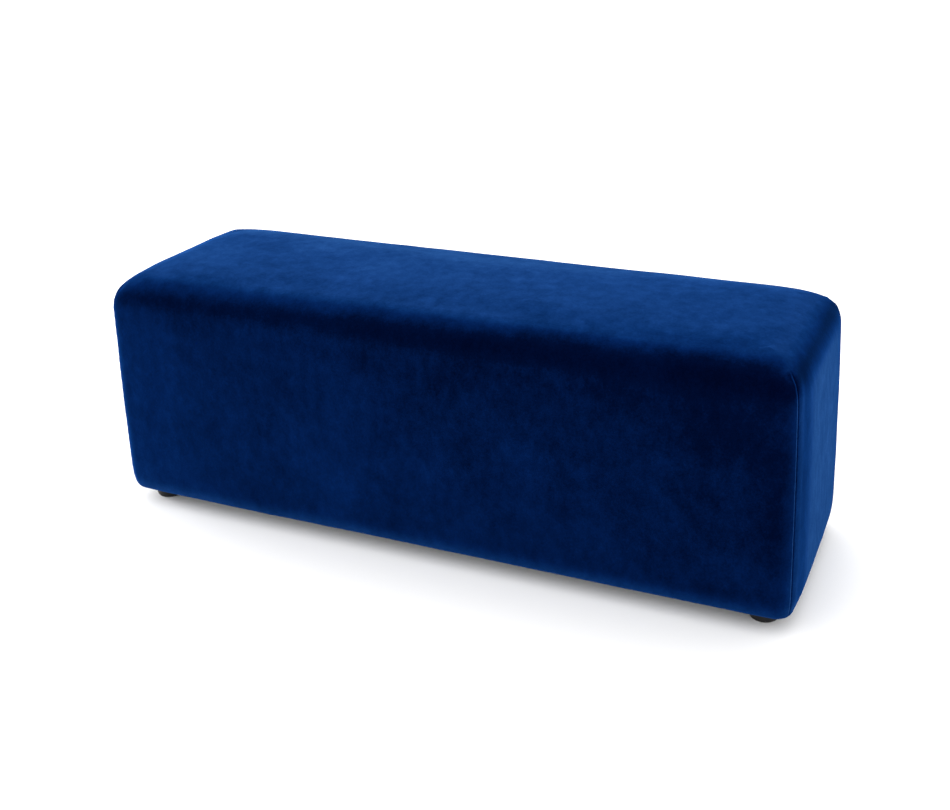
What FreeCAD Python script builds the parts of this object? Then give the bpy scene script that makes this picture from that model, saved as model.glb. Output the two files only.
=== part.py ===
import FreeCAD
import Part
import math
import os

# Upholstered bench, in millimetres.
# X runs along the bench, the front faces -Y, Z is up and the floor is at Z = 0.
# A timber box on four round feet is padded with foam and wadding,
# and one fitted velvet cover goes over it and is turned under.

# Overall size
BENCH_LENGTH = 1250.0
BENCH_DEPTH = 400.0
BENCH_HEIGHT = 450.0

# Outside form of the padding
TOP_EDGE_RADIUS = 60.0
CORNER_RADIUS = 32.0
BOTTOM_EDGE_RADIUS = 22.0
CORNER_GROWTH = 20.0
SEAT_CROWN = 6.0
CROWN_REACH = 145.0
SIDE_CROWN = 3.0

# Soft layers
COVER_THICKNESS = 1.6
DUST_CLOTH_THICKNESS = 0.8
WADDING_THICKNESS = 6.0
SIDE_FOAM_THICKNESS = 16.0
SEAT_FOAM_THICKNESS = 55.0
LAYER_CLEARANCE = 0.3

# Timber
PANEL_THICKNESS = 12.0
DECK_THICKNESS = 12.0
POST_WIDTH = 45.0
RAIL_WIDTH = 20.0
RAIL_HEIGHT = 40.0
RIB_THICKNESS = 15.0
NOTCH_CLEARANCE = 0.25

# Feet
FOOT_HEIGHT = 22.0
FOOT_TOP_DIAMETER = 56.0
FOOT_BASE_DIAMETER = 46.0
FOOT_BASE_ROUND = 5.0
FOOT_SOLE_THICKNESS = 9.0

# Screws and staples
SCREW_DIAMETER = 4.0
SCREW_HEAD_DIAMETER = 8.0
SCREW_CLEARANCE = 0.1
DECK_SCREW_LENGTH = 38.0
WALL_SCREW_LENGTH = 35.0
FOOT_SCREW_LENGTH = 32.0
FOOT_SCREW_HEAD_HEIGHT = 3.0
DECK_SCREW_SPACING = 230.0
STAPLE_CROWN = 11.0
STAPLE_LEG = 8.0
STAPLE_WIRE = 1.0
STAPLE_SPACING = 75.0
STAPLE_CLEARANCE = 0.1

# Values that follow
cover_bottom = FOOT_HEIGHT + DUST_CLOTH_THICKNESS
frame_bottom = cover_bottom + COVER_THICKNESS
wadding_inset = COVER_THICKNESS + LAYER_CLEARANCE
foam_inset = wadding_inset + WADDING_THICKNESS + LAYER_CLEARANCE
frame_inset = foam_inset + SIDE_CROWN + SIDE_FOAM_THICKNESS
half_length = BENCH_LENGTH / 2 - frame_inset
half_depth = BENCH_DEPTH / 2 - frame_inset
deck_top = BENCH_HEIGHT - foam_inset - SEAT_CROWN - SEAT_FOAM_THICKNESS
deck_bottom = deck_top - DECK_THICKNESS
wall_height = deck_bottom - frame_bottom
inner_length = half_length - PANEL_THICKNESS
inner_depth = half_depth - PANEL_THICKNESS
post_x = inner_length - POST_WIDTH / 2
post_y = inner_depth - POST_WIDTH / 2
rail_end_x = inner_length - POST_WIDTH
rail_end_y = inner_depth - POST_WIDTH
rib_x = rail_end_x / 3
foot_seat_radius = FOOT_TOP_DIAMETER / 2
hem_x = post_x - foot_seat_radius - STAPLE_CROWN / 2
hem_y = post_y - foot_seat_radius - STAPLE_CROWN / 2

SIDES = (("left", -1), ("right", 1))
FACES = (("front", -1), ("rear", 1))
CORNERS = [(f"{face}_{side}", sx, sy) for face, sy in FACES for side, sx in SIDES]


def vec(x, y, z):
    return FreeCAD.Vector(x, y, z)


def block(x0, x1, y0, y1, z0, z1):
    """Board between two corners, given in any order."""
    low = vec(min(x0, x1), min(y0, y1), min(z0, z1))
    return Part.makeBox(abs(x1 - x0), abs(y1 - y0), abs(z1 - z0), low)


def rounded_outline(half_x, half_y, radius, z):
    """Closed level outline with four rounded corners."""
    edges = []
    spots = [(half_x, half_y), (-half_x, half_y), (-half_x, -half_y), (half_x, -half_y)]
    last = None
    first = None
    for turn, (x, y) in enumerate(spots):
        middle = vec(math.copysign(abs(x) - radius, x), math.copysign(abs(y) - radius, y), z)
        points = []
        for step in (0, 45, 90):
            angle = math.radians(90 * turn + step)
            points.append(middle + vec(radius * math.cos(angle), radius * math.sin(angle), 0))
        if last is None:
            first = points[0]
        else:
            edges.append(Part.makeLine(last, points[0]))
        edges.append(Part.Arc(points[0], points[1], points[2]).toShape())
        last = points[2]
    edges.append(Part.makeLine(last, first))
    return Part.Wire(edges)


def padded_form(inset):
    """Crowned outside of the padding, taken in by an even distance.

    Level outlines follow the bottom roll, the slightly full side, the top roll and the crown of the seat.
    Each of the four is a smooth loft that starts on the last outline of the one below it.
    """
    low_round = BOTTOM_EDGE_RADIUS - inset
    top_round = TOP_EDGE_RADIUS - inset
    low_middle = cover_bottom + BOTTOM_EDGE_RADIUS
    top_middle = BENCH_HEIGHT - SEAT_CROWN - TOP_EDGE_RADIUS
    peak = BENCH_HEIGHT - inset

    def outline(z, pulled, lift):
        radius = CORNER_RADIUS - inset + CORNER_GROWTH * lift
        return rounded_outline(BENCH_LENGTH / 2 - pulled, BENCH_DEPTH / 2 - pulled, radius, z)

    low_roll = []
    for degrees in (0, 30, 60, 90):
        angle = math.radians(degrees)
        pulled = SIDE_CROWN + BOTTOM_EDGE_RADIUS - low_round * math.sin(angle)
        low_roll.append(outline(low_middle - low_round * math.cos(angle), pulled, 0))
    top_roll = []
    for degrees in (0, 21, 42, 63, 84):
        angle = math.radians(degrees)
        shoulder = top_middle + top_round * math.sin(angle)
        pulled = SIDE_CROWN + TOP_EDGE_RADIUS - top_round * math.cos(angle)
        top_roll.append(outline(shoulder, pulled, math.sin(angle)))
    full_side = [low_roll[-1], outline((low_middle + top_middle) / 2, inset, 0), top_roll[0]]
    crown = [top_roll[-1]]
    for share in (0.5, 1.0):
        rise = (peak - shoulder) * (1 - (1 - share) ** 2)
        crown.append(outline(shoulder + rise, pulled + share * (CROWN_REACH - pulled), 1))
    bands = [Part.makeLoft(band, True, False) for band in (low_roll, full_side, top_roll, crown)]
    return bands[0].multiFuse(bands[1:])


def turned(profile, position, direction):
    """Round piece from a radius and height profile, stood at a place and pointed along a direction."""
    points = [vec(radius, 0, height) for radius, height in profile]
    face = Part.Face(Part.makePolygon(points + [points[0]]))
    solid = face.revolve(vec(0, 0, 0), vec(0, 0, 1), 360)
    solid.Placement = FreeCAD.Placement(position, FreeCAD.Rotation(vec(0, 0, 1), direction))
    return solid


def countersunk_profile(length, spare):
    """Half outline of a countersunk screw, its flat head at zero and its point at the length."""
    head = SCREW_HEAD_DIAMETER / 2 + spare
    shank = SCREW_DIAMETER / 2 + spare
    tip = length + spare
    return [(0, 0), (head, 0), (shank, head - shank), (shank, tip - shank), (0, tip)]


def pan_head_profile(length, spare):
    """Half outline of a pan-head screw, seated at zero with its head behind it."""
    head = SCREW_HEAD_DIAMETER / 2 + spare
    shank = SCREW_DIAMETER / 2 + spare
    tip = length + spare
    back = -FOOT_SCREW_HEAD_HEIGHT
    return [(0, back), (0.7 * head, back), (head, 0.4 * back), (head, 0), (shank, 0), (shank, tip - shank), (0, tip)]


def staple(position, along, spare):
    """Wire staple with its crown under a point, its legs going up and its length along a direction."""
    wide = STAPLE_WIRE / 2 + spare
    half = STAPLE_CROWN / 2 + spare
    gap = STAPLE_CROWN / 2 - STAPLE_WIRE - spare
    top = STAPLE_LEG + spare
    points = [(-half, -STAPLE_WIRE), (half, -STAPLE_WIRE), (half, top), (gap, top)]
    points += [(gap, 0), (-gap, 0), (-gap, top), (-half, top)]
    outline = [vec(x, -wide, z) for x, z in points]
    solid = Part.Face(Part.makePolygon(outline + [outline[0]])).extrude(vec(0, 2 * wide, 0))
    solid.Placement = FreeCAD.Placement(position, FreeCAD.Rotation(vec(1, 0, 0), along))
    return solid


def spread(reach, spacing):
    """Even places from -reach to reach, no further apart than the spacing."""
    gaps = max(1, math.ceil(2 * reach / spacing))
    return [reach * (2 * place / gaps - 1) for place in range(gaps + 1)]


def near(tool, shape):
    return tool.BoundBox.intersect(shape.BoundBox)


def cut_with(shape, tools):
    """Shape with every tool that reaches it taken out."""
    reaching = [tool for tool in tools if near(tool, shape)]
    return shape.cut(Part.Compound(reaching)) if reaching else shape


nodes = {}

# Walls and deck
for face, sy in FACES:
    nodes[f"{face}_panel"] = block(
        -half_length, half_length, sy * inner_depth, sy * half_depth, frame_bottom, deck_bottom)
for side, sx in SIDES:
    nodes[f"{side}_end_panel"] = block(
        sx * inner_length, sx * half_length, -inner_depth, inner_depth, frame_bottom, deck_bottom)
nodes["deck_board"] = block(-half_length, half_length, -half_depth, half_depth, deck_bottom, deck_top)

# Corner posts
for corner, sx, sy in CORNERS:
    nodes[f"post_{corner}"] = block(
        sx * rail_end_x, sx * inner_length, sy * rail_end_y, sy * inner_depth, frame_bottom, deck_bottom)

# Rails between the posts
LEVELS = (
    ("bottom", frame_bottom, frame_bottom + RAIL_HEIGHT),
    ("top", deck_bottom - RAIL_HEIGHT, deck_bottom),
)
for level, z0, z1 in LEVELS:
    for face, sy in FACES:
        nodes[f"rail_{level}_{face}"] = block(
            -rail_end_x, rail_end_x, sy * (inner_depth - RAIL_WIDTH), sy * inner_depth, z0, z1)
    for side, sx in SIDES:
        nodes[f"rail_{level}_{side}"] = block(
            sx * (inner_length - RAIL_WIDTH), sx * inner_length, -rail_end_y, rail_end_y, z0, z1)

# Ribs notched over the long rails
for side, sx in SIDES:
    low = sx * rib_x - RIB_THICKNESS / 2
    rib = block(low, low + RIB_THICKNESS, -inner_depth, inner_depth, frame_bottom, deck_bottom)
    notches = []
    for level, z0, z1 in LEVELS:
        for face, sy in FACES:
            notches.append(block(
                low, low + RIB_THICKNESS, sy * (inner_depth - RAIL_WIDTH - NOTCH_CLEARANCE),
                sy * inner_depth, z0 - NOTCH_CLEARANCE, z1 + NOTCH_CLEARANCE))
    nodes[f"rib_{side}"] = rib.cut(Part.Compound(notches))

# Padding around the timber box
timber_box = block(-half_length, half_length, -half_depth, half_depth, 0, deck_top)
wadding_outside = padded_form(wadding_inset)
wadding_inside = padded_form(foam_inset - LAYER_CLEARANCE)
nodes["batting"] = wadding_outside.cut(wadding_inside).cut(timber_box)
foam_form = padded_form(foam_inset)
beyond = BENCH_LENGTH
nodes["seat_foam"] = foam_form.common(block(-beyond, beyond, -beyond, beyond, deck_top, beyond))
for face, sy in FACES:
    nodes[f"{face}_foam"] = foam_form.common(
        block(-half_length, half_length, sy * half_depth, sy * beyond, 0, deck_top))
for side, sx in SIDES:
    nodes[f"{side}_end_foam"] = foam_form.common(
        block(sx * half_length, sx * beyond, -beyond, beyond, 0, deck_top))

# Velvet cover with its turned-under hem
cover = padded_form(0).cut(padded_form(COVER_THICKNESS))
hem_opening = block(-hem_x, hem_x, -hem_y, hem_y, 0, frame_bottom + COVER_THICKNESS / 2)
nodes["cover"] = cover.cut(hem_opening)

# Dust cloth, which stops where the bottom roll starts
cloth_x = BENCH_LENGTH / 2 - SIDE_CROWN - BOTTOM_EDGE_RADIUS - STAPLE_CROWN / 2
cloth_y = BENCH_DEPTH / 2 - SIDE_CROWN - BOTTOM_EDGE_RADIUS - STAPLE_CROWN / 2
nodes["dust_cloth"] = block(-cloth_x, cloth_x, -cloth_y, cloth_y, FOOT_HEIGHT, cover_bottom)

# Feet, hollowed from below for the screw head
base_radius = FOOT_BASE_DIAMETER / 2
recess_radius = SCREW_HEAD_DIAMETER / 2 + STAPLE_WIRE
foot_profile = [vec(SCREW_DIAMETER / 2 + SCREW_CLEARANCE, 0, FOOT_HEIGHT), vec(foot_seat_radius, 0, FOOT_HEIGHT)]
flank = (foot_seat_radius - base_radius) * FOOT_BASE_ROUND / FOOT_HEIGHT
round_start = vec(base_radius + flank, 0, FOOT_BASE_ROUND)
round_middle = vec(base_radius - 0.22 * FOOT_BASE_ROUND, 0, 0.25 * FOOT_BASE_ROUND)
round_end = vec(base_radius - FOOT_BASE_ROUND, 0, 0)
recess_top = FOOT_HEIGHT - FOOT_SOLE_THICKNESS
inside_profile = [
    round_end, vec(recess_radius, 0, 0), vec(recess_radius, 0, recess_top),
    vec(foot_profile[0].x, 0, recess_top), foot_profile[0]]
foot_edges = [
    Part.makeLine(foot_profile[0], foot_profile[1]),
    Part.makeLine(foot_profile[1], round_start),
    Part.Arc(round_start, round_middle, round_end).toShape()]
for start, end in zip(inside_profile, inside_profile[1:]):
    foot_edges.append(Part.makeLine(start, end))
foot_shape = Part.Face(Part.Wire(foot_edges)).revolve(vec(0, 0, 0), vec(0, 0, 1), 360)
for corner, sx, sy in CORNERS:
    foot = foot_shape.copy()
    foot.translate(vec(sx * post_x, sy * post_y, 0))
    nodes[f"foot_{corner}"] = foot

# Places of the screws, each with the direction it is driven in
foot_places = [(vec(sx * post_x, sy * post_y, recess_top), vec(0, 0, 1)) for corner, sx, sy in CORNERS]
deck_places = []
deck_reach = rail_end_x - STAPLE_CROWN
for x in spread(deck_reach, DECK_SCREW_SPACING):
    for face, sy in FACES:
        deck_places.append((vec(x, sy * (inner_depth - RAIL_WIDTH / 2), deck_top), vec(0, 0, -1)))
for side, sx in SIDES:
    deck_places.append((vec(sx * (inner_length - RAIL_WIDTH / 2), 0, deck_top), vec(0, 0, -1)))
wall_places = []
end_places = []
for share in (0.25, 0.75):
    z = frame_bottom + share * wall_height
    for face, sy in FACES:
        for x in (-post_x, -rib_x, rib_x, post_x):
            wall_places.append((vec(x, sy * half_depth, z), vec(0, -sy, 0)))
    for corner, sx, sy in CORNERS:
        spot = vec(sx * half_length, sy * post_y, z + 2 * SCREW_HEAD_DIAMETER)
        end_places.append((spot, vec(-sx, 0, 0)))

# Places of the staples, between the feet along the middle of the bottom rails
staple_places = []
for x in spread(post_x - foot_seat_radius - 2 * STAPLE_CROWN, STAPLE_SPACING):
    for face, sy in FACES:
        staple_places.append((vec(x, sy * (inner_depth - RAIL_WIDTH / 2), FOOT_HEIGHT), vec(1, 0, 0)))
for y in spread(post_y - foot_seat_radius - 2 * STAPLE_CROWN, STAPLE_SPACING):
    for side, sx in SIDES:
        staple_places.append((vec(sx * (inner_length - RAIL_WIDTH / 2), y, FOOT_HEIGHT), vec(0, 1, 0)))

# Fasteners, and the holes they leave in what they go through
FASTENERS = (
    ("foot_screws", pan_head_profile, FOOT_SCREW_LENGTH, foot_places),
    ("deck_screws", countersunk_profile, DECK_SCREW_LENGTH, deck_places),
    ("panel_screws", countersunk_profile, WALL_SCREW_LENGTH, wall_places),
    ("end_screws", countersunk_profile, WALL_SCREW_LENGTH, end_places),
)
holes = []
groups = {}
for name, profile, length, places in FASTENERS:
    groups[name] = Part.Compound([turned(profile(length, 0), spot, way) for spot, way in places])
    holes += [turned(profile(length, SCREW_CLEARANCE), spot, way) for spot, way in places]
groups["dust_cloth_staples"] = Part.Compound([staple(spot, along, 0) for spot, along in staple_places])
holes += [staple(spot, along, STAPLE_CLEARANCE) for spot, along in staple_places]

DRILLED = ("panel", "board", "post", "rail", "rib", "cover", "cloth")
for name in nodes:
    if any(word in name for word in DRILLED):
        nodes[name] = cut_with(nodes[name], holes)
nodes.update(groups)

os.makedirs("parts", exist_ok=True)
for name, shape in nodes.items():
    shape.exportStep(f"parts/{name}.step")
    print(name, len(shape.Solids), shape.isValid(), round(shape.Volume / 1000, 1))
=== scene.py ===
import math

import bmesh
import bpy
import numpy as np
from mathutils import Matrix, Vector


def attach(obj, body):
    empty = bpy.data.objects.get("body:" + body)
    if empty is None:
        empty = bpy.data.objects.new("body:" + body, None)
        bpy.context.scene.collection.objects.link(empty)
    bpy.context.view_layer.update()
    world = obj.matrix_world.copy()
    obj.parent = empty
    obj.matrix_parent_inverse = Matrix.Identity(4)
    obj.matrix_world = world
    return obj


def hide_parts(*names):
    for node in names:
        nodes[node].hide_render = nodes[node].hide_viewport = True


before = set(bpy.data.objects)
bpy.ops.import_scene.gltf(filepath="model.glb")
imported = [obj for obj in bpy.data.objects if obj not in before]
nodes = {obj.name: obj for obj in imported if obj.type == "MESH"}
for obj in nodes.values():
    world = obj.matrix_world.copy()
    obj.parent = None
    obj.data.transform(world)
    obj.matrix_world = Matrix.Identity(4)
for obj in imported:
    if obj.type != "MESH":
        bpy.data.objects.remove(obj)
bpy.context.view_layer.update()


def node_box(name):
    """Lowest and highest corner of a node's box, to a tenth of a millimetre."""
    corners = np.array([nodes[name].matrix_world @ Vector(c) for c in nodes[name].bound_box])
    return corners.min(axis=0).round(4).tolist(), corners.max(axis=0).round(4).tolist()


# Sizes that follow the frame, in metres
cover_low, cover_high = node_box("cover")
deck_low, deck_high = node_box("deck_board")
dust_low, dust_high = node_box("dust_cloth")
LENGTH, DEPTH = cover_high[0] - cover_low[0], cover_high[1] - cover_low[1]
HEIGHT, COVER_BOTTOM = cover_high[2], cover_low[2]
FRAME_LENGTH, FRAME_DEPTH = deck_high[0] - deck_low[0], deck_high[1] - deck_low[1]
DECK_TOP, FRAME_BOTTOM = deck_high[2], node_box("front_panel")[0][2]
DUST_LENGTH, DUST_DEPTH = dust_high[0] - dust_low[0], dust_high[1] - dust_low[1]
DUST_LEVEL = (dust_low[2] + dust_high[2]) / 2

# Form of the padding, in metres
TOP_ROUND, CORNER_ROUND = 0.060, 0.032
LOW_ROUND, LOW_RISE, LOW_TUCK = 0.022, 0.036, 0.55
CORNER_GROWTH, TOP_TURN = 0.020, math.radians(84)
SEAT_CROWN, SEAT_SLOPE, SEAT_BLEND = 0.006, 0.12, 0.05
SIDE_CROWN, LAYER_CROWN = 0.003, 0.001
SIDE_BOW, BOW_REACH, BOW_START = 0.003, 0.05, 0.024
SEAM_TOP, SEAM_TURN = 0.420, math.radians(52)
HEM_ROUND, HEM_TUCK = 0.006, 0.5


# Level outlines of the padded form

def level(z, inset, radius):
    """One outline: its height, its inset, its corner radius and how far its sides bow out."""
    bow = SIDE_BOW * min(max((z - BOW_START) / LOW_ROUND, 0), 1)
    return (z, inset, radius, bow)


def profile_levels(taken_in, lifted, step):
    """Levels from the underside, round the bottom roll, up the side and over the top roll."""
    low, top = LOW_ROUND - taken_in, TOP_ROUND - taken_in
    drop = LOW_RISE - lifted
    low_mid = COVER_BOTTOM + LOW_RISE
    top_mid = HEIGHT - SEAT_CROWN - TOP_ROUND
    radius = CORNER_ROUND - taken_in
    low_count = max(4, round((low + drop) * math.pi / 4 / step) + 1)
    side_count = max(6, round((top_mid - low_mid) / step)) + 1
    top_count = max(6, round(top * TOP_TURN / step) + 1)
    levels = []
    for a in np.linspace(0, math.pi / 2, low_count):
        inset = SIDE_CROWN + LOW_ROUND - low * math.sin(a)
        tucked = radius * (LOW_TUCK + (1 - LOW_TUCK) * math.sin(a))
        levels.append(level(low_mid - drop * math.cos(a), inset, tucked))
    for share in np.linspace(0, 1, side_count)[1:]:
        inset = taken_in + SIDE_CROWN - LAYER_CROWN * (1 - (2 * share - 1) ** 2)
        levels.append(level(low_mid + share * (top_mid - low_mid), inset, radius))
    for a in np.linspace(0, TOP_TURN, top_count)[1:]:
        inset = SIDE_CROWN + TOP_ROUND - top * math.cos(a)
        levels.append(level(top_mid + top * math.sin(a), inset, radius + CORNER_GROWTH * math.sin(a)))
    return levels


def column_plan(step, seam_steps):
    """Places round the outline: on each side a half corner, the straight run and a half corner."""
    plan = []
    for side, run in enumerate((LENGTH, DEPTH, LENGTH, DEPTH)):
        straight = run - 2 * CORNER_ROUND
        count = max(4, round(straight / step))
        plan += [(side, "in", d) for d in seam_steps]
        plan += [(side, "run", k / count) for k in range(1, count)]
        plan += [(side, "out", d) for d in reversed(seam_steps[1:])]
    return plan


def seam_turn(side):
    """Angle round a corner from a side's face to its seam, wider on the long sides."""
    return math.pi / 2 - SEAM_TURN if side % 2 else SEAM_TURN


def outline_points(plan, z, inset, radius, bow):
    """Points of one level outline, counted anticlockwise from the front left seam."""
    cx = LENGTH / 2 - inset - bow - radius
    cy = DEPTH / 2 - inset - bow - radius
    centres = [(-cx, -cy), (cx, -cy), (cx, cy), (-cx, cy)]
    points = []
    for side, part, value in plan:
        start, end = centres[side], centres[(side + 1) % 4]
        out = math.radians(-90 + 90 * side)
        if part == "in":
            a = out - seam_turn(side) * (1 - value)
            points.append((start[0] + radius * math.cos(a), start[1] + radius * math.sin(a), z))
        elif part == "out":
            a = out + seam_turn(side) * (1 - value)
            points.append((end[0] + radius * math.cos(a), end[1] + radius * math.sin(a), z))
        else:
            run = math.dist(start, end) * min(value, 1 - value)
            reach = radius + bow * (1 - max(1 - run / BOW_REACH, 0) ** 2)
            x = start[0] + value * (end[0] - start[0]) + reach * math.cos(out)
            y = start[1] + value * (end[1] - start[1]) + reach * math.sin(out)
            points.append((x, y, z))
    return points


def seam_gaps(plan, inset, radius):
    """Distance round one level outline from the nearest corner seam, below zero on the ends."""
    gaps = []
    for side, part, value in plan:
        arc = radius * seam_turn(side)
        straight = (DEPTH if side % 2 else LENGTH) - 2 * (inset + radius)
        if part == "run":
            gap = arc + straight * min(value, 1 - value)
        else:
            gap = arc * value
        gaps.append(-gap if side % 2 else gap)
    return gaps


def seat_inset(x, y, inset, radius):
    """Distance in from a level outline with round corners, without a ridge on its diagonals."""
    qx = np.abs(x) - (LENGTH / 2 - inset - radius)
    qy = np.abs(y) - (DEPTH / 2 - inset - radius)
    beyond = np.hypot(np.maximum(qx, 0), np.maximum(qy, 0))
    within = np.minimum(0.5 * (qx + qy + np.hypot(qx - qy, SEAT_BLEND)), 0)
    return radius - beyond - within


def padded_mesh(name, taken_in, lifted, step, seam_steps, hem):
    """Quad skin of the padded form: sides in columns and rows, the seat as a patch between them."""
    plan = column_plan(step, seam_steps)
    levels = profile_levels(taken_in, lifted, step)
    bottom, inset, radius, _ = levels[0]
    under = [level(bottom, inset + d, max(radius - d * HEM_TUCK, HEM_ROUND)) for d in hem]
    rows = list(reversed(under)) + levels
    width = len(plan)
    points = []
    for row in rows:
        points += outline_points(plan, *row)
    faces = []
    for r in range(len(rows) - 1):
        for c in range(width):
            n = (c + 1) % width
            faces.append((r * width + c, r * width + n, (r + 1) * width + n, (r + 1) * width + c))

    # The seat's border is the last row, and its inside is blended from that border
    top = (len(rows) - 1) * width
    sides = [[i for i, p in enumerate(plan) if p[0] == side] for side in range(4)]
    nx, ny = len(sides[0]), len(sides[1])
    grid = -np.ones((nx + 1, ny + 1), int)
    for k in range(nx):
        grid[k, 0] = top + sides[0][k]
        grid[nx - k, ny] = top + sides[2][k]
    for k in range(ny):
        grid[nx, k] = top + sides[1][k]
        grid[0, ny - k] = top + sides[3][k]
    flat = np.array(points)
    border = np.argwhere(grid >= 0)
    edge = {(i, j): flat[grid[i, j]] for i, j in border.tolist()}
    shoulder, edge_inset, edge_radius, edge_bow = rows[-1]
    for i in range(1, nx):
        for j in range(1, ny):
            u, v = i / nx, j / ny
            low, high = edge[(i, 0)], edge[(i, ny)]
            left, right = edge[(0, j)], edge[(nx, j)]
            mixed = (1 - u) * left + u * right + (1 - v) * low + v * high
            mixed -= (1 - u) * (1 - v) * edge[(0, 0)] + u * (1 - v) * edge[(nx, 0)]
            mixed -= (1 - u) * v * edge[(0, ny)] + u * v * edge[(nx, ny)]
            grid[i, j] = len(points)
            x, y = mixed[:2]
            share = min(seat_inset(x, y, edge_inset + edge_bow, edge_radius) / SEAT_SLOPE, 1)
            z = shoulder + (HEIGHT - taken_in - shoulder) * (1 - (1 - share) ** 2)
            points.append((x, y, z))
    for i in range(nx):
        for j in range(ny):
            faces.append((grid[i, j], grid[i + 1, j], grid[i + 1, j + 1], grid[i, j + 1]))

    mesh = bpy.data.meshes.new(name)
    mesh.from_pydata([tuple(p) for p in points], [], [tuple(int(i) for i in f) for f in faces])
    mesh.update()
    gaps = np.ones(len(points))
    for r, row in enumerate(rows):
        gaps[r * width:(r + 1) * width] = seam_gaps(plan, row[1], row[2])
    store(mesh, "seam", gaps)
    return placed(name, mesh), rows, plan


# Meshes and values at their points

def placed(name, mesh):
    """A new object in the scene."""
    obj = bpy.data.objects.new(name, mesh)
    bpy.context.scene.collection.objects.link(obj)
    return obj


def mesh_points(mesh):
    flat = np.empty(len(mesh.vertices) * 3)
    mesh.vertices.foreach_get("co", flat)
    return flat.reshape(-1, 3)


def set_points(mesh, points):
    mesh.vertices.foreach_set("co", np.ascontiguousarray(points).ravel())
    mesh.update()


def point_normals(mesh):
    flat = np.empty(len(mesh.vertices) * 3)
    mesh.vertex_normals.foreach_get("vector", flat)
    return flat.reshape(-1, 3)


def store(mesh, name, values):
    """Keeps one value for each point, for the materials to read."""
    mesh.attributes.new(name, "FLOAT", "POINT").data.foreach_set("value", values)


def stored(mesh, name):
    values = np.empty(len(mesh.vertices))
    mesh.attributes[name].data.foreach_get("value", values)
    return values


def evened(mesh, values, passes):
    """Values at the points, each drawn to the mean of its neighbours."""
    pairs = np.empty(len(mesh.edges) * 2, int)
    mesh.edges.foreach_get("vertices", pairs)
    first, second = pairs.reshape(-1, 2).T
    count = np.bincount(pairs, minlength=len(values))[:, None]
    for _ in range(passes):
        total = np.zeros_like(values)
        np.add.at(total, first, values[second])
        np.add.at(total, second, values[first])
        values = total / count
    return values


def baked(obj, name):
    """The object with its modifiers applied, as a plain mesh object."""
    depsgraph = bpy.context.evaluated_depsgraph_get()
    mesh = bpy.data.meshes.new_from_object(obj.evaluated_get(depsgraph))
    mesh.name = name
    old = obj.data
    obj.modifiers.clear()
    obj.data = mesh
    bpy.data.meshes.remove(old)
    return obj


def smooth(obj):
    obj.data.polygons.foreach_set("use_smooth", [True] * len(obj.data.polygons))
    obj.data.update()


def put(obj, node, material):
    """The piece takes the place of a node."""
    smooth(obj)
    obj.data.materials.append(material)
    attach(obj, "root")
    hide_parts(node)
    return obj


def eased(share):
    """A share from 0 to 1 that starts and ends gently."""
    return share * share * (3 - 2 * share)


def bell(values, middle, width):
    """1 at the middle, fading to 0 on both sides."""
    return np.exp(-(((values - middle) / width) ** 2))


NOISE_PRIMES = np.array((374761393, 668265263, 2147483647))
NOISE_SEED, NOISE_MIX = 974711, 1274126177


def value_noise(points, scale, seed):
    """Smooth seeded noise between -1 and 1 at each point."""
    q = points * scale
    base = np.floor(q).astype(np.int64)
    part = eased(q - base)
    total = np.zeros(len(points))
    for corner in np.ndindex(2, 2, 2):
        h = (base + corner) @ NOISE_PRIMES
        h = (h + seed * NOISE_SEED) & 0xFFFFFFFF
        h = ((h ^ (h >> 13)) * NOISE_MIX) & 0xFFFFFFFF
        h = (h ^ (h >> 16)) & 0xFFFF
        weight = np.prod(np.where(corner, part, 1 - part), axis=1)
        total += weight * (h / 32767.5 - 1)
    return total


# Velvet cover

COVER_INSET, COVER_LIFT, COVER_STEP = 0.0025, 0.0007, 0.0095
SEAM_STEPS = [0.0, 0.03, 0.07, 0.13, 0.22, 0.36, 0.56, 0.78, 1.0]
HEM_STEPS = (0.006, 0.014, 0.026, 0.04)
SEAT_FROM, SEAT_FADE, SEAT_PASSES = 0.436, 0.004, 8

# Cloth run: how long, how firm, and how much of its result is kept
RUN_FRAMES, HELD_ROWS = 20, 6
RUN_SETTINGS = {
    "quality": 5,
    "mass": 0.4,
    "tension_stiffness": 30,
    "compression_stiffness": 30,
    "shear_stiffness": 12,
    "bending_stiffness": 4,
    "use_pressure": True,
    "uniform_pressure_force": 4,
}
RUN_PASSES, FULLEST, SEAM_HOLD = 40, 0.002, 0.015

# Relief in metres; a pair is a middle and a width, or the scale and seed of a noise
PAD_WAVE, WAVE_NOISE = 0.0006, (9.0, 3)
PAD_RIPPLE, RIPPLE_NOISE = 0.0003, (26.0, 5)
CORNER_FULL, FULL_ACROSS, FULL_UP = 0.002, (0, 0.014), (0.410, 0.012)
SEAM_BOTTOM, SEAM_FADE = 0.018, 0.006
GROOVE_DEPTH, GROOVE_ACROSS = 0.0008, (-0.0010, 0.0012)
EDGE_RISE, EDGE_ACROSS = 0.0004, (0.0009, 0.0009)
GATHER_RISE, GATHER_PITCH, GATHER_ACROSS = 0.0002, 0.017, (0, 0.010)
GATHER_SWAY, GATHER_NOISE = 2.0, (40.0, 11)
FOLD_RISE, FOLD_ACROSS, FOLD_UP = 0.0010, (0.005, 0.008), (0.002, 0.0028)
FOLD_SLOPE, FOLD_CENTRE, FOLD_PAINTED_LIGHT = 0.15, 0.004, 0.8
DIMPLE_DEPTH, DIMPLE_ACROSS, DIMPLE_UP = 0.0020, (0.005, 0.006), (-0.006, 0.005)
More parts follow.
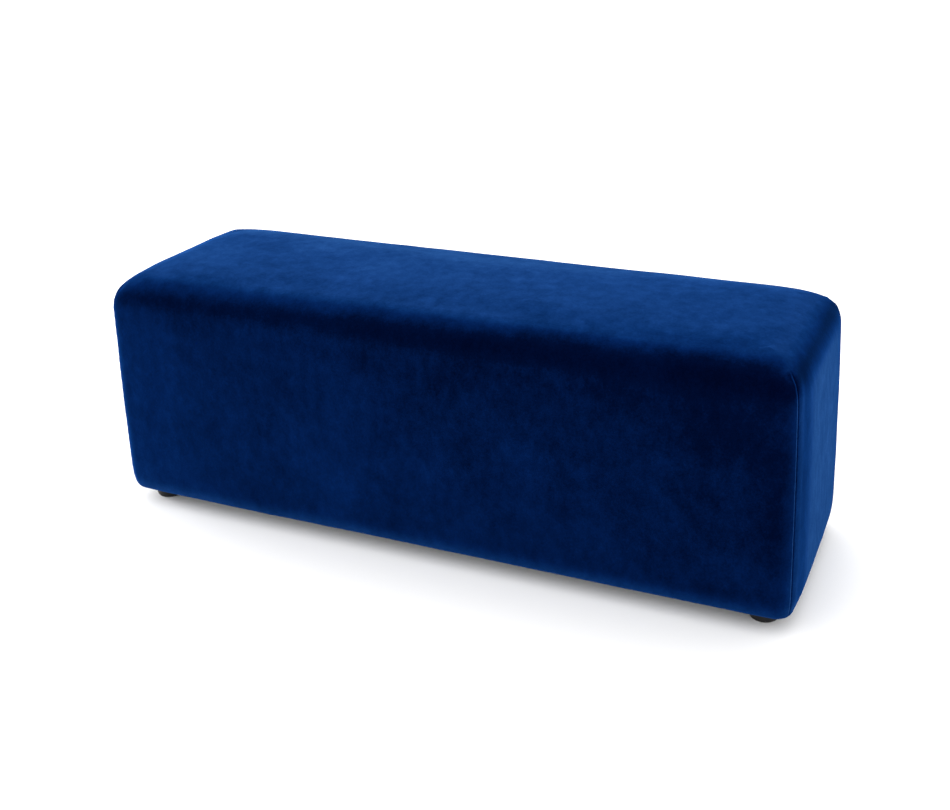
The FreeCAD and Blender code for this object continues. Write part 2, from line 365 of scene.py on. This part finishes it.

# Painted shade over the rolls, where the pile opens, by the tilt of the surface in degrees
BEND_TILT, BEND_END_SHIFT, BEND_WIDTH = 27, 9, 18
ROLL_LIGHT_SHARE, ROLL_LIGHT_TILT = 0.1, (76, 9)
BEND_LEFT, BEND_RIGHT_END = 0.6, 0.8
TOP_START, TOP_SPAN = 0.35, 0.5

# Painted sheen on faces turned across the way of the pile, and painted shade and light that drift
# over the faces and beside the seams
SHEEN_WAY, SHEEN_SHARE = (0.15, -0.92, 0.38), 0.835
SIDE_SHADE_RIGHT, SIDE_SHADE_UP = 0.12, 0.16
SEAT_SHADE, SEAT_SHADE_START, SEAT_SHADE_SPAN = 0.11, 0.05, 0.5
BOTTOM_PAINTED_LIGHT, BOTTOM_PAINTED_LIGHT_UP = 0.14, (0.041, 0.010)
SEAM_PAINTED_LIGHT, SEAM_LIGHT_ACROSS, SEAM_LIGHT_FADE = 0.07, (0.004, 0.012), 0.002
SEAM_PAINTED_SHADE, SEAM_SHADE_ACROSS, SEAM_SHADE_FADE = 0.30, (-0.028, 0.038), 0.025
BESIDE_TOP, BESIDE_FADE = SEAM_TOP + 0.01, 0.03


def fill_out(cover, rows, plan):
    """Cloth run with pressure inside: the cover fills out between its seams and its hem."""
    before = mesh_points(cover.data)
    width = len(plan)
    held = list(range(HELD_ROWS * width))
    seams = [c for c, (_, part, value) in enumerate(plan) if part == "in" and value == 0.0]
    for r, row in enumerate(rows):
        if row[0] < SEAM_TOP:
            held += [r * width + c for c in seams]
    cover.vertex_groups.new(name="hold").add(held, 1.0, "REPLACE")
    cloth = cover.modifiers.new("Cloth", "CLOTH")
    for name, value in RUN_SETTINGS.items():
        setattr(cloth.settings, name, value)
    cloth.settings.effector_weights.gravity = 0
    cloth.settings.vertex_group_mass = "hold"
    cloth.collision_settings.use_collision = False
    cloth.point_cache.frame_start = 1
    cloth.point_cache.frame_end = RUN_FRAMES
    scene = bpy.context.scene
    for f in range(1, RUN_FRAMES + 1):
        scene.frame_set(f)
    baked(cover, "velvet_cover")
    move = evened(cover.data, mesh_points(cover.data) - before, RUN_PASSES)
    size = np.linalg.norm(move, axis=1, keepdims=True)
    free = 1 - bell(stored(cover.data, "seam"), 0, SEAM_HOLD)
    move *= FULLEST * np.tanh(size / FULLEST) / np.maximum(size, 1e-9) * free[:, None]
    set_points(cover.data, before + move)
    scene.frame_set(1)
    cover.vertex_groups.clear()


def mark_tops_and_roll_shade(mesh, normals):
    """Stores how far each point faces up or to an end, and the painted shade over the rolls where the
    pile opens.
    """
    up = np.clip(normals[:, 2], 0, 1)
    tilt = np.degrees(np.arcsin(up))
    sideways = normals[:, :2] ** 2
    on_end = sideways[:, 0] / np.maximum(sideways.sum(axis=1), 1e-6)
    roll_shade = bell(tilt, BEND_TILT + BEND_END_SHIFT * on_end, BEND_WIDTH)
    # Slightly less painted shade, so a little lighter, near the top of each roll
    roll_shade -= ROLL_LIGHT_SHARE * bell(tilt, *ROLL_LIGHT_TILT)
    x = mesh_points(mesh)[:, 0]
    # Painted shade weaker towards the left and stronger on the right end
    roll_shade *= 1 + BEND_LEFT * np.minimum(x, 0) + BEND_RIGHT_END * on_end * np.maximum(x, 0)
    top = eased(np.clip((up - TOP_START) / TOP_SPAN, 0, 1))
    store(mesh, "top", top)
    store(mesh, "roll_shade", roll_shade)
    store(mesh, "end", on_end * (1 - top))


def cover_relief(points, along):
    """How far the cover lifts along its normals, and the painted highlight on each seam's raised edge
    and on each fold.
    """
    z = points[:, 2]

    # Slow unevenness of the padding under the cloth
    lift = PAD_WAVE * value_noise(points, *WAVE_NOISE)
    lift += PAD_RIPPLE * value_noise(points, *RIPPLE_NOISE)

    # Fuller corners just below the top, so that the seams stand upright to their tips
    lift += CORNER_FULL * bell(along, *FULL_ACROSS) * bell(z, *FULL_UP)

    # Corner seams: a fine drawn-in line beside a fine raised edge, and small gathers along it
    reach = np.clip((SEAM_TOP - z) / SEAM_FADE, 0, 1) * np.clip((z - SEAM_BOTTOM) / SEAM_FADE, 0, 1)
    groove = bell(along, *GROOVE_ACROSS)
    edge = bell(along, *EDGE_ACROSS)
    sway = GATHER_SWAY * value_noise(points, *GATHER_NOISE)
    gathers = np.sin(z * 2 * math.pi / GATHER_PITCH + sway)
    lift += reach * (EDGE_RISE * edge - GROOVE_DEPTH * groove)
    lift += reach * GATHER_RISE * gathers * bell(along, *GATHER_ACROSS) * (1 - groove)

    # Pucker where each dart ends: a short fold over a dimple
    up = z - SEAM_TOP
    fold = bell(up + FOLD_SLOPE * (along - FOLD_CENTRE), *FOLD_UP) * bell(along, *FOLD_ACROSS)
    dimple = bell(up, *DIMPLE_UP) * bell(along, *DIMPLE_ACROSS)
    lift += FOLD_RISE * fold - DIMPLE_DEPTH * dimple
    # The second value is painted highlight along each seam's raised edge and over each fold
    return lift, reach * edge + FOLD_PAINTED_LIGHT * fold


def paint_sheen_and_shade(mesh):
    """Stores painted sheen and shade: faces turned across one fixed way, the way the pile is brushed,
    are painted lighter.
    """
    normals = point_normals(mesh)
    x, _, z = mesh_points(mesh).T
    # Painted sheen: lighter where a face turns across the fixed way, darker where it faces along it
    painted_sheen_and_shade = 1 - SHEEN_SHARE * np.abs(normals @ np.array(SHEEN_WAY))
    # Painted shade: the long sides darker towards the right and the top, lighter towards the left and
    # the bottom
    painted_sheen_and_shade -= (SIDE_SHADE_RIGHT * x + SIDE_SHADE_UP * (z - HEIGHT / 2)) * np.abs(normals[:, 1])
    # Painted shade on the seat towards its right end
    seat_shade_share = np.clip((x - SEAT_SHADE_START) / SEAT_SHADE_SPAN, 0, 1)
    painted_sheen_and_shade -= SEAT_SHADE * seat_shade_share * np.maximum(normals[:, 2], 0)
    # Painted light in a band along the bottom roll
    painted_sheen_and_shade += BOTTOM_PAINTED_LIGHT * bell(z, *BOTTOM_PAINTED_LIGHT_UP)

    # Painted light on the long sides' edge of each seam, where the pile is raised, and painted shade
    # on the ends' edge, where it is pressed
    along = stored(mesh, "seam")
    below = np.clip((BESIDE_TOP - z) / BESIDE_FADE, 0, 1)
    seam_light = np.clip(along / SEAM_LIGHT_FADE, 0, 1) * bell(along, *SEAM_LIGHT_ACROSS)
    seam_shade = np.clip(-along / SEAM_SHADE_FADE, 0, 1) * bell(along, *SEAM_SHADE_ACROSS)
    painted_sheen_and_shade += below * (SEAM_PAINTED_LIGHT * seam_light - SEAM_PAINTED_SHADE * seam_shade)
    store(mesh, "painted_sheen_and_shade", painted_sheen_and_shade)


def make_cover(material):
    cover, rows, plan = padded_mesh(
        "velvet_cover", COVER_INSET, COVER_LIFT, COVER_STEP, SEAM_STEPS, HEM_STEPS)
    fill_out(cover, rows, plan)
    finer = cover.modifiers.new("Finer", "SUBSURF")
    finer.levels = 1
    finer.render_levels = 1
    baked(cover, "velvet_cover")
    points = mesh_points(cover.data)
    flatter = np.clip((points[:, 2:] - SEAT_FROM) / SEAT_FADE, 0, 1)
    points += flatter * (evened(cover.data, points, SEAT_PASSES) - points)
    set_points(cover.data, points)
    normals = point_normals(cover.data)
    mark_tops_and_roll_shade(cover.data, normals)
    lift, painted_highlight = cover_relief(points, stored(cover.data, "seam"))
    # The painted highlight is stored as the edge value
    store(cover.data, "edge", painted_highlight)
    set_points(cover.data, points + normals * lift[:, None])
    paint_sheen_and_shade(cover.data)
    put(cover, "cover", material)


# Padding under the cover

PADDING_STEP = 0.02
PADDING_SEAM_STEPS = [0.0, 0.3, 0.65, 1.0]
WADDING_DEPTH, FOAM_DEPTH = 0.008, 0.0125
PAD_ROUND, PAD_SWELL, PAD_CUTS = 0.004, 0.0012, 23


def make_wadding(material):
    layer, _, _ = padded_mesh(
        "wadding_layer", WADDING_DEPTH, WADDING_DEPTH, PADDING_STEP, PADDING_SEAM_STEPS, ())
    put(layer, "batting", material)


def rounded_block(name, low, high):
    """Closed block with round edges whose faces swell a little in the middle."""
    low, high = np.array(low), np.array(high)
    middle, half = (low + high) / 2, (high - low) / 2
    thin = int(np.argmin(half))
    shape = bmesh.new()
    bmesh.ops.create_cube(shape, size=2.0)
    bmesh.ops.subdivide_edges(shape, edges=shape.edges[:], cuts=PAD_CUTS, use_grid_fill=True)
    for v in shape.verts:
        unit = np.sin(np.array(v.co) * math.pi / 2)
        inner = np.clip(unit * half, PAD_ROUND - half, half - PAD_ROUND)
        way = unit * half - inner
        size = np.linalg.norm(way)
        place = inner + (way * PAD_ROUND / size if size > 1e-9 else 0)
        fullness = np.prod(np.sort(1 - unit ** 2)[1:])
        if abs(unit[thin]) > 0.999:
            place[thin] += math.copysign(PAD_SWELL, unit[thin]) * fullness
        v.co = middle + place
    mesh = bpy.data.meshes.new(name)
    shape.to_mesh(mesh)
    shape.free()
    return placed(name, mesh)


def make_foam(material):
    """Seat block, cut flat on the deck, and a sheet on each side of the frame."""
    seat, _, _ = padded_mesh(
        "seat_pad", FOAM_DEPTH, FOAM_DEPTH, PADDING_STEP, PADDING_SEAM_STEPS, ())
    shape = bmesh.new()
    shape.from_mesh(seat.data)
    everything = shape.verts[:] + shape.edges[:] + shape.faces[:]
    cut = bmesh.ops.bisect_plane(
        shape, geom=everything, plane_co=(0, 0, DECK_TOP), plane_no=(0, 0, -1), clear_outer=True)
    rim = [e for e in cut["geom_cut"] if isinstance(e, bmesh.types.BMEdge)]
    bmesh.ops.edgeloop_fill(shape, edges=rim)
    bmesh.ops.recalc_face_normals(shape, faces=shape.faces[:])
    shape.to_mesh(seat.data)
    shape.free()
    put(seat, "seat_foam", material)
    x, y = FRAME_LENGTH / 2, FRAME_DEPTH / 2
    far_x = LENGTH / 2 - SIDE_CROWN - FOAM_DEPTH
    far_y = DEPTH / 2 - SIDE_CROWN - FOAM_DEPTH
    low, high = FRAME_BOTTOM + FOAM_DEPTH, DECK_TOP
    for side, a, b in (
            ("front", (-x, -far_y, low), (x, -y, high)),
            ("rear", (-x, y, low), (x, far_y, high)),
            ("left_end", (-far_x, -y, low), (-x, y, high)),
            ("right_end", (x, -y, low), (far_x, y, high))):
        pad = rounded_block(side + "_pad", a, b)
        put(pad, side + "_foam", material)


# Cloth under the frame

DUST_COLUMNS, DUST_ROWS, DUST_THICKNESS = 160, 48, 0.0006
DUST_SAG, DUST_RIPPLE = 0.0022, 0.0012
DUST_TAUT, DUST_EASE = 0.045, 0.09
DUST_STRETCH, DUST_WAVES = (0.6, 1.6, 1), (14.0, 21)
DUST_CREASE, DUST_CREASES = 0.5, (40.0, 22)
DUST_HEM, HEM_MARK, HEM_MARK_WIDTH = 0.012, 0.0003, 0.0015


def make_dust_cloth(material):
    """Cloth held taut round its edge, where the staples go, hanging a little between, with a faint
    line where its hem lies.
    """
    across = np.linspace(-1, 1, DUST_COLUMNS + 1)
    back = np.linspace(-1, 1, DUST_ROWS + 1)
    u, v = np.meshgrid(across, back, indexing="ij")
    x, y = u.ravel() * DUST_LENGTH / 2, v.ravel() * DUST_DEPTH / 2
    rim = np.minimum(DUST_LENGTH / 2 - np.abs(x), DUST_DEPTH / 2 - np.abs(y))
    slack = eased(np.clip((rim - DUST_TAUT) / DUST_EASE, 0, 1))
    flat = np.stack([x, y, np.zeros_like(x)], axis=1)
    ripple = value_noise(flat * DUST_STRETCH, *DUST_WAVES)
    ripple += DUST_CREASE * value_noise(flat, *DUST_CREASES)
    z = DUST_LEVEL - slack * (DUST_SAG + DUST_RIPPLE * ripple)
    z -= HEM_MARK * bell(rim, DUST_HEM, HEM_MARK_WIDTH)
    mesh = bpy.data.meshes.new("dust_cloth_sheet")
    column = DUST_ROWS + 1
    faces = []
    for i in range(DUST_COLUMNS):
        for j in range(DUST_ROWS):
            a = i * column + j
            faces.append((a, a + 1, a + column + 1, a + column))
    mesh.from_pydata(np.stack([x, y, z], axis=1).tolist(), [], faces)
    sheet = placed("dust_cloth_sheet", mesh)
    thick = sheet.modifiers.new("Thickness", "SOLIDIFY")
    thick.thickness = DUST_THICKNESS
    thick.offset = 0.0
    put(baked(sheet, "dust_cloth_sheet"), "dust_cloth", material)


# Materials

def new_material(name):
    material = bpy.data.materials.new(name)
    material.use_nodes = True
    tree = material.node_tree
    shader = tree.nodes["Principled BSDF"]
    return material, tree, shader


def add(tree, kind, **values):
    """A new node with its inputs and settings."""
    node = tree.nodes.new(kind)
    for key, value in values.items():
        if key in node.inputs:
            node.inputs[key].default_value = value
        else:
            setattr(node, key, value)
    return node


def make_grain_group():
    """Stretched noise as a height, and as a mottle between a dark and a light colour."""
    group = bpy.data.node_groups.new("grain", "ShaderNodeTree")
    sockets = (
        ("INPUT", "Vector", ("Place", "Stretch")),
        ("INPUT", "Float", ("Scale", "Detail", "Roughness", "Low", "High")),
        ("INPUT", "Color", ("Dark", "Light")),
        ("OUTPUT", "Color", ("Colour",)),
        ("OUTPUT", "Float", ("Share", "Height")),
    )
    for way, kind, names in sockets:
        for name in names:
            group.interface.new_socket(name, in_out=way, socket_type="NodeSocket" + kind)
    given = add(group, "NodeGroupInput")
    result = add(group, "NodeGroupOutput")
    stretched = add(group, "ShaderNodeVectorMath", operation="MULTIPLY")
    field = add(group, "ShaderNodeTexNoise")
    share = add(group, "ShaderNodeMapRange", clamp=True)
    mottle = add(group, "ShaderNodeMix", data_type="RGBA")
    links = (
        (given.outputs["Place"], stretched.inputs[0]),
        (given.outputs["Stretch"], stretched.inputs[1]),
        (stretched.outputs[0], field.inputs["Vector"]),
        (given.outputs["Scale"], field.inputs["Scale"]),
        (given.outputs["Detail"], field.inputs["Detail"]),
        (given.outputs["Roughness"], field.inputs["Roughness"]),
        (field.outputs["Fac"], share.inputs["Value"]),
        (given.outputs["Low"], share.inputs["From Min"]),
        (given.outputs["High"], share.inputs["From Max"]),
        (share.outputs["Result"], mottle.inputs["Factor"]),
        (given.outputs["Dark"], mottle.inputs[6]),
        (given.outputs["Light"], mottle.inputs[7]),
        (mottle.outputs[2], result.inputs["Colour"]),
        (share.outputs["Result"], result.inputs["Share"]),
        (field.outputs["Fac"], result.inputs["Height"]),
    )
    for output, socket in links:
        group.links.new(output, socket)
    return group


def grain(
        tree, scale, detail, roughness=0.5, stretch=(1, 1, 1),
        dark=(0, 0, 0), light=(1, 1, 1), ends=(0.3, 0.7)):
    """One placed grain group, in the object's own coordinates."""
    node = add(tree, "ShaderNodeGroup", node_tree=GRAIN)
    tree.links.new(add(tree, "ShaderNodeTexCoord").outputs["Object"], node.inputs["Place"])
    values = {
        "Stretch": stretch, "Scale": scale, "Detail": detail, "Roughness": roughness,
        "Low": ends[0], "High": ends[1], "Dark": (*dark, 1.0), "Light": (*light, 1.0),
    }
    for name, value in values.items():
        node.inputs[name].default_value = value
    return node.outputs


def add_bump(tree, shader, height, strength, distance):
    bump = add(tree, "ShaderNodeBump", Strength=strength, Distance=distance)
    tree.links.new(height, bump.inputs["Height"])
    tree.links.new(bump.outputs["Normal"], shader.inputs["Normal"])


def ramp(tree, value, stops):
    """Colours at places along a value, mixed between them."""
    node = add(tree, "ShaderNodeValToRGB")
    elements = node.color_ramp.elements
    while len(elements) < len(stops):
        elements.new(0.5)
    for element, (place, colour) in zip(elements, stops):
        element.position = place
        element.color = (*colour, 1.0)
    tree.links.new(value, node.inputs["Fac"])
    return node.outputs["Color"]


def calculate(tree, operation, *values):
    """One step of arithmetic on values and outputs."""
    node = add(tree, "ShaderNodeMath", operation=operation)
    for socket, value in zip(node.inputs, values):
        if isinstance(value, (int, float)):
            socket.default_value = value
        else:
            tree.links.new(value, socket)
    return node.outputs[0]


def weighted(tree, start, parts):
    """A start value and outputs, each by its own weight, summed."""
    total = start
    for output, weight in parts:
        total = calculate(tree, "MULTIPLY_ADD", output, weight, total)
    return total


def blend(tree, share, low, high):
    """Low where the share is 0, high where it is 1."""
    node = add(tree, "ShaderNodeMix")
    tree.links.new(share, node.inputs[0])
    tree.links.new(low, node.inputs[2])
    tree.links.new(high, node.inputs[3])
    return node.outputs[0]


# Velvet colours along the painted sheen and shade: dark where the pile stands open, light where it
# lies along the surface
VELVET_SHEEN_STOPS = (
    (0.0, (0.0001, 0.0011, 0.0095)),
    (0.12, (0.0001, 0.0020, 0.0150)),
    (0.21, (0.0003, 0.0047, 0.0305)),
    (0.32, (0.0006, 0.0075, 0.0455)),
    (0.5, (0.0015, 0.014, 0.068)),
    (0.68, (0.004, 0.0222, 0.092)),
    (0.86, (0.0082, 0.0335, 0.108)),
    (1.0, (0.015, 0.05, 0.15)),
)
ROLL_SHADE_DEPTH = 0.54
CLUMP_RISE, PILE_RISE = 0.0002, 0.00018


def velvet_material():
    """Deep blue velvet whose painted sheen and painted shade follow the values stored on the cover.
    """
    material, tree, shader = new_material("velvet")
    marks = {}
    for name in ("top", "roll_shade", "end", "edge", "painted_sheen_and_shade"):
        marks[name] = add(tree, "ShaderNodeAttribute", attribute_name=name).outputs["Fac"]

    # Soft clumps of pile, even on the long sides, stronger on the seat and drawn out down the ends
    clouds = grain(tree, 9.0, 3.0, 0.55)["Height"]
    on_sides = grain(tree, 52.0, 4.0, 0.65, (1.1, 1.1, 0.75))["Height"]
    on_seat = grain(tree, 56.0, 4.0, 0.65, (0.85, 0.8, 1.0))["Height"]
    on_ends = grain(tree, 70.0, 4.0, 0.65, (1.1, 1.1, 0.45))["Height"]
    stronger_seat = calculate(tree, "MULTIPLY_ADD", on_seat, 1.3, -0.15)
    stronger_ends = calculate(tree, "MULTIPLY_ADD", on_ends, 1.3, -0.15)
    upright = blend(tree, marks["end"], on_sides, stronger_ends)
    clumps = blend(tree, marks["top"], upright, stronger_seat)
    pile = grain(tree, 260.0, 3.0, 0.7)["Height"]
    relief = weighted(tree, 0.0, [(clumps, CLUMP_RISE), (pile, PILE_RISE)])
    add_bump(tree, shader, relief, 1.0, 1.0)

    # Painted sheen and shade, with deeper painted shade over the rolls, mottled by the clumps
    # Painted shade over the rolls darkens the painted sheen
    roll_lightness = calculate(tree, "MULTIPLY_ADD", marks["roll_shade"], -ROLL_SHADE_DEPTH, 1.0)
    shown = calculate(tree, "MULTIPLY", marks["painted_sheen_and_shade"], roll_lightness)
    # The edge value brings in the painted highlight of the seams and folds
    mottle = [(clouds, 0.15), (clumps, 0.14), (pile, 0.13), (marks["edge"], 0.3)]
    shown = calculate(tree, "ADD", shown, weighted(tree, -0.21, mottle))
    wear = weighted(tree, 0.21, [(clouds, 0.6), (clumps, 0.72), (pile, 0.5)])
    worn = add(tree, "ShaderNodeVectorMath", operation="SCALE")
    tree.links.new(ramp(tree, shown, VELVET_SHEEN_STOPS), worn.inputs[0])
    tree.links.new(wear, worn.inputs["Scale"])
    tree.links.new(worn.outputs[0], shader.inputs["Base Color"])
    shader.inputs["Roughness"].default_value = 0.95
    shader.inputs["Specular IOR Level"].default_value = 0.0
    shader.inputs["Sheen Weight"].default_value = 0.16
    shader.inputs["Sheen Roughness"].default_value = 0.4
    shader.inputs["Sheen Tint"].default_value = (0.03, 0.225, 0.92, 1.0)
    return material


def plastic_material():
    material, tree, shader = new_material("black_plastic")
    dark, light = (0.006, 0.006, 0.007), (0.013, 0.013, 0.014)
    scuff = grain(tree, 60.0, 5.0, 0.65, dark=dark, light=light, ends=(0.35, 0.75))
    tree.links.new(scuff["Colour"], shader.inputs["Base Color"])
    dulled = calculate(tree, "MULTIPLY_ADD", scuff["Share"], 0.16, 0.36)
    tree.links.new(dulled, shader.inputs["Roughness"])
    shader.inputs["Specular IOR Level"].default_value = 0.2
    add_bump(tree, shader, grain(tree, 700.0, 2.0)["Height"], 0.12, 0.0004)
    return material


def wood_material(name, dark, light, stretch):
    material, tree, shader = new_material(name)
    figure = grain(tree, 30.0, 6.0, 0.6, stretch, dark, light, (0.35, 0.65))
    tree.links.new(figure["Colour"], shader.inputs["Base Color"])
    shader.inputs["Roughness"].default_value = 0.7
    add_bump(tree, shader, grain(tree, 220.0, 3.0, 0.6, stretch)["Height"], 0.15, 0.0006)
    return material


def soft_material(name, dark, light, scale, depth):
    material, tree, shader = new_material(name)
    cells = grain(tree, scale, 3.0, 0.65, dark=dark, light=light, ends=(0.35, 0.68))
    tree.links.new(cells["Colour"], shader.inputs["Base Color"])
    shader.inputs["Roughness"].default_value = 0.95
    add_bump(tree, shader, cells["Height"], 0.5, depth)
    return material


def metal_material(name, dark, light):
    material, tree, shader = new_material(name)
    marks = grain(tree, 400.0, 3.0, dark=dark, light=light)
    tree.links.new(marks["Colour"], shader.inputs["Base Color"])
    dulled = calculate(tree, "MULTIPLY_ADD", marks["Share"], 0.14, 0.28)
    tree.links.new(dulled, shader.inputs["Roughness"])
    shader.inputs["Metallic"].default_value = 1.0
    return material


def dress(name, material):
    obj = nodes[name]
    obj.data.materials.clear()
    obj.data.materials.append(material)


GRAIN = make_grain_group()
velvet = velvet_material()
plastic = plastic_material()
board = wood_material("board", (0.30, 0.19, 0.10), (0.46, 0.32, 0.19), (1, 6, 6))
softwood = wood_material("softwood", (0.48, 0.31, 0.16), (0.66, 0.47, 0.28), (1, 5, 5))
foam = soft_material("foam", (0.62, 0.55, 0.36), (0.80, 0.73, 0.52), 420.0, 0.0012)
wadding = soft_material("wadding", (0.70, 0.70, 0.69), (0.88, 0.88, 0.87), 120.0, 0.003)
nonwoven = soft_material("nonwoven", (0.008, 0.008, 0.009), (0.022, 0.022, 0.024), 650.0, 0.0006)
zinc = metal_material("zinc", (0.50, 0.46, 0.36), (0.66, 0.62, 0.50))
wire = metal_material("wire", (0.48, 0.48, 0.49), (0.66, 0.66, 0.67))

make_cover(velvet)
make_wadding(wadding)
make_foam(foam)
make_dust_cloth(nonwoven)

for name in nodes:
    if name.startswith("foot_") and name != "foot_screws":
        dress(name, plastic)
    elif "foam" in name:
        dress(name, foam)
    elif name == "batting":
        dress(name, wadding)
    elif name == "dust_cloth":
        dress(name, nonwoven)
    elif name == "dust_cloth_staples":
        dress(name, wire)
    elif "screws" in name:
        dress(name, zinc)
    elif name.startswith(("post", "rail")):
        dress(name, softwood)
    elif name != "cover":
        dress(name, board)

# Floor
FLOOR = 14
floor_corners = [(-FLOOR, -FLOOR, 0), (FLOOR, -FLOOR, 0), (FLOOR, FLOOR, 0), (-FLOOR, FLOOR, 0)]
floor_mesh = bpy.data.meshes.new("floor")
floor_mesh.from_pydata(floor_corners, [], [(0, 1, 2, 3)])
floor = placed("floor", floor_mesh)
floor_material, _, floor_shader = new_material("floor")
floor_shader.inputs["Base Color"].default_value = (0.9, 0.9, 0.9, 1)
floor_shader.inputs["Roughness"].default_value = 0.9
floor_shader.inputs["Specular IOR Level"].default_value = 0.0
floor.data.materials.append(floor_material)

# Studio light: brighter from the left, dimmer low down in front
GLOW, GLOW_SLOPE = 1.74, -0.55
FRONT_DIMMING, LOW_FADE = -0.6, -2.8
world = bpy.data.worlds.new("studio")
world.use_nodes = True
bpy.context.scene.world = world
studio = world.node_tree
backdrop = studio.nodes["Background"]
backdrop.inputs["Color"].default_value = (1.0, 1.0, 1.0, 1.0)
heading = add(studio, "ShaderNodeSeparateXYZ")
studio.links.new(add(studio, "ShaderNodeTexCoord").outputs["Generated"], heading.inputs[0])
glow = calculate(studio, "MULTIPLY_ADD", heading.outputs["X"], GLOW_SLOPE, GLOW)
front = calculate(studio, "MULTIPLY", heading.outputs["Y"], -1.0)
front = calculate(studio, "MAXIMUM", front, 0.0)
low_down = calculate(studio, "MULTIPLY_ADD", heading.outputs["Z"], LOW_FADE, 1.0)
low_down = calculate(studio, "MAXIMUM", low_down, 0.0)
low_front = calculate(studio, "MULTIPLY", front, low_down)
dimming = calculate(studio, "MULTIPLY_ADD", low_front, FRONT_DIMMING, 1.0)
glow = calculate(studio, "MULTIPLY", glow, dimming)
studio.links.new(glow, backdrop.inputs["Strength"])


def area_light(name, place, target, size, power):
    data = bpy.data.lights.new(name, "AREA")
    data.shape = "RECTANGLE"
    data.size, data.size_y = size
    data.energy = power
    light = placed(name, data)
    light.location = place
    light.rotation_euler = (Vector(target) - Vector(place)).to_track_quat("-Z", "Y").to_euler()


area_light("key", (0.2, 1.6, 3.6), (0.0, 0, 0.2), (3.0, 2.4), 25)
area_light("rim", (-2.2, 0.1, 0.2), (-0.6, -0.15, 0.2), (0.7, 0.36), 35)
bpy.context.scene.view_settings.view_transform = "Standard"

# Camera: its place in metres, its turns in radians, its lens and shift in the photo's pixels
PHOTO_WIDTH, SENSOR = 950, 36.0
FOCAL = 1237.05
CAMERA_PLACE = (0.8986, -1.8101, 1.1384)
YAW, PITCH, ROLL = 0.391, 0.2742, -0.02
SHIFT_RIGHT, SHIFT_DOWN = 70, 200
camera_data = bpy.data.cameras.new("camera")
camera_data.sensor_width = SENSOR
camera_data.sensor_fit = "HORIZONTAL"
camera_data.lens = FOCAL / PHOTO_WIDTH * SENSOR
camera_data.clip_end = 60.0
camera_data.shift_x = -SHIFT_RIGHT / PHOTO_WIDTH
camera_data.shift_y = -SHIFT_DOWN / PHOTO_WIDTH
camera = placed("camera", camera_data)
ahead = Vector((-math.sin(YAW) * math.cos(PITCH), math.cos(YAW) * math.cos(PITCH), -math.sin(PITCH)))
right = Vector((math.cos(YAW), math.sin(YAW), 0.0))
up = right.cross(ahead)
turned_right = math.cos(ROLL) * right + math.sin(ROLL) * up
turned_up = -math.sin(ROLL) * right + math.cos(ROLL) * up
camera.matrix_world = Matrix([
    (turned_right.x, turned_up.x, -ahead.x, CAMERA_PLACE[0]),
    (turned_right.y, turned_up.y, -ahead.y, CAMERA_PLACE[1]),
    (turned_right.z, turned_up.z, -ahead.z, CAMERA_PLACE[2]),
    (0.0, 0.0, 0.0, 1.0),
])
bpy.context.scene.camera = camera
